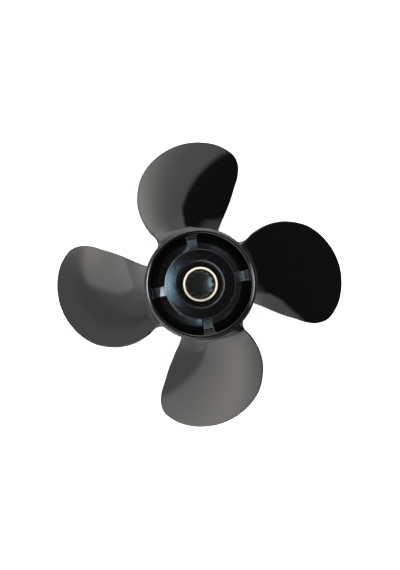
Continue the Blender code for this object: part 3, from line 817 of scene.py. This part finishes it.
def make_bushing():
    """Rubber ring pressed into the inner hub. Its front face is dished by a shallow groove, whose
    depth is a sine from the face's inner to its outer edge, raised to 0.7."""
    groove = np.linspace(0, 1, 13)
    inner, outer = SLEEVE_RADIUS + BUSHING_GAP, HUB_BORE - BUSHING_GAP
    inner_corner, outer_corner = 0.4 * MM, 0.7 * MM
    face_inner, face_outer = inner + 0.7 * MM, outer - 1.2 * MM
    radius = face_inner + (face_outer - face_inner) * groove
    height = BUSHING_FRONT - BUSHING_GROOVE * np.sin(math.pi * groove) ** 0.7
    points = profile(
        (inner, BUSHING_AFT),
        (inner, BUSHING_FRONT - 0.5 * MM),
        corner_arc(inner + inner_corner, BUSHING_FRONT - inner_corner, inner_corner, 180, 90, 3),
        np.stack([radius, height], axis=-1),
        corner_arc(outer - outer_corner, BUSHING_FRONT - outer_corner, outer_corner, 90, 0, 4),
        (outer, 60 * MM),
        (outer, BUSHING_AFT),
        (inner, BUSHING_AFT),
    )
    skin = Skin()
    angle = np.linspace(0, math.tau, BUSHING_STEPS, endpoint=False)[None, :]
    skin.add(polar(points[:, :1], angle, points[:, 1:]), closed=True)
    return skin.make("rubber_bushing_ring", sharp_angle=50)


def spline_radius(angle):
    """Inside of the sleeve: grooves and teeth with sloping flanks, a groove centred on angle 0."""
    phase = (angle * SPLINE_TEETH / math.tau) % 1.0
    from_tooth = np.abs(phase - 0.5) * 2
    depth = smooth((from_tooth - GROOVE_START) / GROOVE_FLANK)
    return SPLINE_MINOR + (SPLINE_MAJOR - SPLINE_MINOR) * depth


def make_sleeve():
    """Turned outside, flat forward ring, conical mouth, then the splines to the aft end."""
    angle = np.linspace(0, math.tau, SPLINE_TEETH * STEPS_PER_TOOTH, endpoint=False)[None, :]
    cone = np.linspace(0, 1, 5)[1:]
    cone_top = SLEEVE_FRONT - 0.5 * MM
    chamfer, corner = 0.4 * MM, 0.35 * MM
    corner_height = SLEEVE_FRONT - corner
    outside = profile(
        (SPLINE_MAJOR + 0.3 * MM, SLEEVE_AFT),
        (SLEEVE_RADIUS - chamfer, SLEEVE_AFT),
        (SLEEVE_RADIUS, SLEEVE_AFT + chamfer),
        (SLEEVE_RADIUS, 60 * MM),
        (SLEEVE_RADIUS, cone_top),
        corner_arc(SLEEVE_RADIUS - corner, corner_height, corner, 0, 90, 4),
        (SLEEVE_RADIUS - 1.2 * MM, SLEEVE_FRONT),
        corner_arc(SLEEVE_MOUTH + corner, corner_height, corner, 90, 170, 4),
        np.stack([SLEEVE_MOUTH + (CONE_FOOT_RADIUS - SLEEVE_MOUTH) * cone,
                  cone_top + (CONE_FOOT - cone_top) * cone], axis=-1),
    )
    plain = polar(outside[:, :1], angle, outside[:, 1:])
    depth = np.array(SPLINE_DEPTHS)[:, None]
    height = np.array(SPLINE_ROWS)[:, None] * MM
    teeth = polar(CONE_FOOT_RADIUS + (spline_radius(angle) - CONE_FOOT_RADIUS) * depth, angle, height)
    skin = Skin()
    skin.add(np.concatenate([plain, teeth, plain[:1]]), closed=True)
    return skin.make("splined_brass_sleeve", sharp_angle=40)


# Shader maths

class Value:
    """A shader socket that takes part in sums: each operator adds the Math node for it."""

    def __init__(self, nodes, socket):
        self.nodes = nodes
        self.socket = socket

    def math(self, operation, other=0.0):
        return self.nodes.node("ShaderNodeMath", {"operation": operation}, {0: self, 1: other})

    def __add__(self, other):
        return self.math("ADD", other)

    __radd__ = __add__

    def __mul__(self, other):
        return self.math("MULTIPLY", other)

    __rmul__ = __mul__

    def __sub__(self, other):
        return self.math("SUBTRACT", other)

    def __rsub__(self, other):
        return self * -1.0 + other

    def __pow__(self, other):
        return self.math("POWER", other)

    def between(self, low, high):
        """Smoothstep from 0 at low to 1 at high."""
        settings = {"interpolation_type": "SMOOTHSTEP"}
        inputs = {0: self, 1: low, 2: high, 3: 0.0, 4: 1.0}
        return self.nodes.node("ShaderNodeMapRange", settings, inputs)


class Nodes:
    """Adds nodes to one node tree."""

    def __init__(self, tree):
        self.tree = tree

    def node(self, kind, settings=None, inputs=None, output=0):
        """Any node: its settings first, then the values or links of its sockets; gives one output."""
        made = self.tree.nodes.new(kind)
        for name, value in (settings or {}).items():
            setattr(made, name, value)
        for key, value in (inputs or {}).items():
            self.feed(made.inputs[key], value)
        return Value(self, made.outputs[output])

    def feed(self, socket, value):
        if isinstance(value, Value):
            self.tree.links.new(value.socket, socket)
        else:
            socket.default_value = value

    def parts(self, vector):
        """The x, y and z of a vector."""
        apart = self.tree.nodes.new("ShaderNodeSeparateXYZ")
        self.feed(apart.inputs[0], vector)
        return [Value(self, output) for output in apart.outputs]

    def along(self, vector, axis):
        """Dot product of a vector with a fixed one."""
        settings = {"operation": "DOT_PRODUCT"}
        return self.node("ShaderNodeVectorMath", settings, {0: vector, 1: axis}, output=1)

    def beyond(self, vector, edge, blend):
        """Mask of the directions past a plane through the middle, given by a vector square to it."""
        return self.along(vector, edge).between(*blend)

    def spot(self, vector, axis, tightness):
        """Soft round spot of directions about an axis: e^(tightness x (cosine - 1))."""
        return ((self.along(vector, axis) - 1.0) * tightness).math("EXPONENT")

    def tint(self, strength, colour):
        """A number times a colour."""
        return self.node("ShaderNodeVectorMath", {"operation": "SCALE"}, {0: colour, "Scale": strength})

    def mix(self, share, first, second, blend="MIX"):
        """Colour that is first at share 0 and second at share 1; with the blend ADD, their sum."""
        settings = {"data_type": "RGBA", "blend_type": blend}
        return self.node("ShaderNodeMix", settings, {0: share, 6: first, 7: second}, output=2)


class Finish(Nodes):
    """A material under construction, with its Principled shader."""

    def __init__(self, name, **fixed):
        self.material = bpy.data.materials.new(name)
        self.material.use_nodes = True
        super().__init__(self.material.node_tree)
        self.shader = self.tree.nodes["Principled BSDF"]
        self.set(**fixed)

    def set(self, **sockets):
        """Feeds the Principled shader's sockets, with _ for a space in the name."""
        for name, value in sockets.items():
            self.feed(self.shader.inputs[name.replace("_", " ").title().replace("Ior", "IOR")], value)

    def place(self):
        """Object coordinates, then x, y, the distance from the shaft axis and the height."""
        where = self.node("ShaderNodeTexCoord", output=3)
        x, y, z = self.parts(where)
        return where, x, y, (x * x + y * y) ** 0.5, z

    def noise(self, where, scale, detail=2.0, roughness=0.5):
        """Soft noise from 0 to 1; scale counts its waves per metre."""
        inputs = {"Vector": where, "Scale": scale, "Detail": detail, "Roughness": roughness}
        return self.node("ShaderNodeTexNoise", {}, inputs)

    def bump(self, height, distance, strength=1.0):
        inputs = {"Height": height, "Distance": distance, "Strength": strength}
        return self.node("ShaderNodeBump", {}, inputs)


def highlight_side(x, y):
    """Where the painted highlights on the bore's edges are strongest: on the right of the bore, a little
    more towards the top: x + 0.3 y, blended.
    """
    return (x + 0.3 * y).between(*HIGHLIGHT_SIDE)


def casting_finish():
    """Gloss black paint: orange peel everywhere, coarse cast skin inside, the ribs' fronts dusty, a
    few specks, and painted highlights: along the side edges of the ribs' fronts, on the bore's edge
    (strongest on the right), on the edge of the hub's face (strongest on the left), on the left and
    right of the forward rim, and a glint at the left rib's inner end."""
    f = Finish("gloss_black_paint_on_cast_aluminium", ior=1.5)
    where, x, y, radius, height = f.place()
    left = x * -1.0
    inside = 1.0 - radius.between(*WALL_OUTSIDE)
    rib_front = height.between(*RIB_FACE_AFT) * (1.0 - height.between(*RIB_FACE_FRONT))
    rib_front = rib_front * radius.between(*RIB_FACE_START) * inside
    peel = f.noise(where, scale=900.0, detail=1.0)
    cast = f.noise(where, scale=450.0, detail=3.0, roughness=0.7)
    grain = f.noise(where, scale=1600.0)
    dust = f.noise(where, scale=700.0, detail=1.0)
    # Painted highlight on the edge of the hub's bore, strongest on the right
    bore_highlight = (1.0 - radius.between(*BORE_EDGE_RADIUS)) * height.between(*BORE_EDGE_HEIGHT)
    bore_highlight = bore_highlight * (0.1 + 0.9 * highlight_side(x, y))
    # Painted highlight on the outer edge of the hub's front face, faint all round and strongest on the
    # left
    face_highlight = radius.between(*FACE_EDGE_INNER) * (1.0 - radius.between(*FACE_EDGE_OUTER))
    highlight_strength = 0.035 + 0.3 * left.between(*FACE_EDGE_LEFT) + 0.6 * left.between(*FACE_EDGE_FAR_LEFT)
    face_highlight = face_highlight * height.between(*FACE_EDGE_HEIGHT) * highlight_strength
    # Painted highlight on the forward rim's rounding, on its left and right only
    rim_highlight = radius.between(*RIM_EDGE_INNER) * (1.0 - radius.between(*RIM_EDGE_OUTER))
    rim_highlight = rim_highlight * height.between(*RIM_EDGE_HEIGHT) * (x * x).between(*RIM_EDGE_SIDES)
    from_line = f.along(where, RIB_LINE).math("ABSOLUTE")
    across = from_line.math("MINIMUM", f.along(where, RIB_CROSS_LINE).math("ABSOLUTE"))
    specks = (1.0 - dust.between(*SPECK_CUT)) * inside * height.between(*SPECK_HEIGHT)
    # Painted highlight on the left rib's front: a pale glint at its inner end, near black further out
    left_rib_glint = f.mix(left.between(*LEFT_RIB_GLINT_END), LEFT_RIB_GLINT, LEFT_RIB_GLINT_FADE)
    layers = (
        (rib_front * grain.between(*GRAIN_CUT), RIB_DUST),
        # painted highlight along the side edges of the ribs' fronts
        (rib_front * across.between(*RIB_SIDE) * 0.6, RIB_EDGE_HIGHLIGHT),
        (rib_front * left.between(*LEFT_RIB_GLINT_START), left_rib_glint),
        (bore_highlight, BORE_EDGE_HIGHLIGHT),
        (face_highlight, FACE_EDGE_HIGHLIGHT),
        (specks, SPECK),
        (rim_highlight, RIM_HIGHLIGHT),
    )
    colour = PAINT
    for share, layer in layers:
        colour = f.mix(share, colour, layer)
    relief = peel * PEEL_RELIEF + cast * inside * CAST_RELIEF + grain * rib_front * GRAIN_RELIEF
    relief = relief + RIB_END_RELIEF * rib_front * (1.0 - radius.between(*RIB_END))
    roughness = PAINT_ROUGHNESS + CAST_ROUGHNESS * inside + DUST_ROUGHNESS * rib_front
    f.set(base_color=colour, roughness=roughness, normal=f.bump(relief, distance=PAINT_RELIEF))
    return f.material


def rubber_finish():
    """Matte black rubber, with a painted highlight on the outer corner next to the hub's bore, strongest
    on the right.
    """
    f = Finish("black_bushing_rubber", roughness=0.7, specular_ior_level=0.15)
    where, x, y, radius, _ = f.place()
    # Painted highlight on the rubber's outer corner, strongest on the right
    rubber_highlight = radius.between(*RUBBER_HIGHLIGHT_RADIUS) * (0.25 + 0.75 * highlight_side(x, y))
    f.set(base_color=f.mix(rubber_highlight, RUBBER, RUBBER_HIGHLIGHT))
    f.set(normal=f.bump(f.noise(where, scale=1500.0), distance=0.2 * MM, strength=0.4))
    return f.material


def brass_finish():
    """Turned brass: fine rings of tool marks round the axis, a little tarnish, painted shade towards the
    bottom and a little to the left, and painted shade in the mouth. The splines have a green patina,
    weaker in the aft half, which towards the front becomes a teal tint that stands in for the teal
    light seen down the bore."""
    f = Finish("turned_brass", metallic=0.85)
    where, _, _, radius, height = f.place()
    tool_path = {"W": radius + height, "Scale": 9000.0}
    rings = f.node("ShaderNodeTexNoise", {"noise_dimensions": "1D"}, tool_path)
    tarnish = f.noise(where, scale=250.0, detail=3.0)
    inside = 1.0 - radius.between(*SLEEVE_INSIDE)
    # Painted shade on the brass towards the bottom, a little to the left
    shaded_side = f.along(where, BRASS_SHADE_WAY).between(*BRASS_SHADE_SIDE)
    # Greenish patina aft, turning towards the front into a teal tint that stands in for the teal light
    # seen down the bore
    splines = f.mix(height.between(*SPLINE_TEAL_BLEND), AFT_SPLINES, FRONT_SPLINE_TEAL)
    colour = f.mix(tarnish, BRASS, TARNISHED_BRASS)
    colour = f.mix(shaded_side, colour, SHADED_BRASS)
    colour = f.mix(inside, colour, splines)
    colour = f.mix(inside * height.between(*SLEEVE_MOUTH_HEIGHT), colour, SLEEVE_MOUTH_SHADE)
    relief = f.bump(rings, distance=0.05 * MM, strength=0.5)
    f.set(base_color=colour, roughness=0.36 + 0.1 * tarnish, normal=relief)
    return f.material


def dress(piece, finish, slot, *nodes):
    piece.data.materials.append(finish)
    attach(piece, "root")
    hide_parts(*nodes)


# Stage

def make_floor():
    """Large pale floor, level with the aft rim."""
    mesh = bpy.data.meshes.new("pale_floor")
    half = FLOOR_HALF_WIDTH
    corners = [(-half, -half, 0), (half, -half, 0), (half, half, 0), (-half, half, 0)]
    mesh.from_pydata(corners, [], [(0, 1, 2, 3)])
    floor = bpy.data.objects.new("pale_floor", mesh)
    bpy.context.scene.collection.objects.link(floor)
    f = Finish("pale_floor_paint", base_color=FLOOR_PAINT, roughness=0.8)
    mesh.materials.append(f.material)
    floor.visible_glossy = False


def make_softbox(name, place, size, radiance, colour=(1, 1, 1), mirrored=True):
    """Square area light aimed at the hub. Its power gives the stated radiance: radiance x area x pi.
    One that isn't mirrored leaves no reflection in the paint."""
    data = bpy.data.lights.new(name, "AREA")
    data.size = size
    data.energy = radiance * size**2 * math.pi
    data.color = colour
    light = bpy.data.objects.new(name, data)
    light.location = place
    light.rotation_euler = (Vector(LAMP_TARGET) - Vector(place)).to_track_quat("-Z", "Y").to_euler()
    light.visible_glossy = mirrored
    bpy.context.scene.collection.objects.link(light)


def make_floor_lamps():
    """Four soft lamps round the object, high enough to keep the floor white close to it."""
    for quarter in range(4):
        angle = math.pi * (quarter + 0.5) / 2
        across, up = FLOOR_LAMP_DISTANCE * math.cos(angle), FLOOR_LAMP_DISTANCE * math.sin(angle)
        place = (across, up, FLOOR_LAMP_HEIGHT)
        name = f"floor_lamp_{quarter + 1}"
        make_softbox(name, place, FLOOR_LAMP_SIZE, FLOOR_LAMP_RADIANCE, mirrored=False)


def make_camera():
    """Straight down the shaft, a hair to the left; 60 mm lens on a 36 mm sensor, image up is +Y."""
    data = bpy.data.cameras.new("camera")
    data.lens = CAMERA_LENS
    data.sensor_width = CAMERA_SENSOR
    data.sensor_fit = "AUTO"
    camera = bpy.data.objects.new("camera", data)
    place, target = Vector(CAMERA_PLACE), Vector(CAMERA_TARGET)
    back = (place - target).normalized()
    up = (Vector((0, 1, 0)) - back * back.y).normalized()
    right = up.cross(back)
    camera.matrix_world = Matrix((right, up, back)).transposed().to_4x4()
    camera.location = place
    bpy.context.scene.collection.objects.link(camera)
    bpy.context.scene.camera = camera


def make_world():
    """Studio light from all round, as a sum of parts that depend on the direction they come from.

    A grey room with a dark corner on the right; a soft glow high behind the object; a window behind
    it whose left and upper borders show in the paint; a broad panel on the left, with a brighter
    streak; a dark zenith, where the camera stands; pale ground below the horizon, which the paint
    mirrors in place of the floor and which is dark straight below; and a faint haze all round. The
    camera itself sees a plain pale backdrop behind the floor.
    """
    world = bpy.data.worlds.new("studio")
    world.use_nodes = True
    sky = Nodes(world.node_tree)
    way = sky.node("ShaderNodeTexCoord")
    x, y, z = sky.parts(way)
    left, front, down = x * -1.0, y * -1.0, z * -1.0
    horizon = z.between(*HORIZON_BLEND)
    above = horizon * (1.0 - z.between(*ZENITH_BLEND))

    left_of_shade = sky.beyond(way, SHADE_EDGE, SHADE_BLEND)
    lit = 1.0 - (1.0 - left_of_shade) * (1.0 - sky.beyond(way, FRONT_EDGE, FRONT_BLEND))
    band = z.between(*BAND_FOOT_BLEND) * (1.0 - z.between(*BAND_TOP_BLEND))
    room = sky.along(way, ROOM_SLOPE) + ROOM_LEVEL - BAND_DEPTH * band * left.between(*BAND_LEFT_BLEND)
    far_wall = FAR_WALL * y.between(*FAR_WALL_BLEND) * (1.0 - z.between(*FAR_WALL_TOP_BLEND))
    room = lit * (room + far_wall)

    glow = GLOW_STRENGTH * sky.spot(way, GLOW_WAY, GLOW_TIGHTNESS)

    window = sky.beyond(way, WINDOW_LEFT_EDGE, WINDOW_LEFT_BLEND)
    window = window * sky.beyond(way, WINDOW_RIGHT_EDGE, WINDOW_RIGHT_BLEND)
    window = window * sky.beyond(way, WINDOW_TOP_EDGE, WINDOW_TOP_BLEND) * left_of_shade
    window = WINDOW_STRENGTH * window * (sky.along(way, WINDOW_SLOPE) + WINDOW_LEVEL)

    panel = sky.beyond(way, PANEL_FOOT_EDGE, PANEL_FOOT_BLEND)
    panel = panel * sky.beyond(way, PANEL_END_EDGE, PANEL_END_BLEND) * front.between(*PANEL_FRONT_BLEND)
    streak = STREAK_STRENGTH * sky.spot(way, STREAK_WAY, STREAK_TIGHTNESS)
    slope = sky.along(way, PANEL_SLOPE) + PANEL_LEVEL + PANEL_BAND * band + streak
    panel = PANEL_STRENGTH * panel * slope

    dark_side = sky.beyond(way, DARK_GROUND_EDGE, DARK_GROUND_BLEND)
    ground = GROUND_FRONT * front.between(*GROUND_FRONT_BLEND) * left.between(*GROUND_LEFT_BLEND)
    ground = ground + GROUND_LEVEL + GROUND_BEHIND * y.between(*GROUND_BEHIND_BLEND)
    dark_ground = DARK_GROUND * dark_side * down.between(*DARK_GROUND_FOOT_BLEND)
    ground = (ground * (1.0 - dark_side) + dark_ground) * (1.0 - down.between(*NADIR_BLEND))

    parts = (
        (room * above, ROOM_TINT),
        (glow * above, GLOW_TINT),
        (window * above, WINDOW_TINT),
        (panel * above, PANEL_TINT),
        (ground * (1.0 - horizon), GROUND_TINT),
        (HAZE_STRENGTH * z.between(*HAZE_BLEND), HAZE_TINT),
    )
    total = DARKEST
    for strength, tint in parts:
        total = sky.mix(1.0, total, sky.tint(strength, tint), "ADD")
    total = sky.mix(sky.node("ShaderNodeLightPath"), total, BACKDROP)
    background = world.node_tree.nodes["Background"]
    sky.feed(background.inputs["Color"], total)
    bpy.context.scene.world = world


casting = make_casting()
dress(casting, casting_finish(), "gloss_black_paint", "hub_barrel", "inner_hub",
      *[f"blade_{n}" for n in range(1, 5)], *[f"exhaust_rib_{n}" for n in range(1, 5)])
dress(make_bushing(), rubber_finish(), "black_rubber", "rubber_bushing")
dress(make_sleeve(), brass_finish(), "machined_brass", "splined_sleeve")
make_floor()
make_camera()
make_world()
make_softbox("key_softbox", KEY_PLACE, KEY_SIZE, KEY_RADIANCE, KEY_COLOUR)
make_softbox("bore_lamp", BORE_LAMP_PLACE, BORE_LAMP_SIZE, BORE_LAMP_RADIANCE, BORE_LAMP_COLOUR,
             mirrored=False)
make_floor_lamps()
bpy.context.scene.view_settings.view_transform = "Standard"
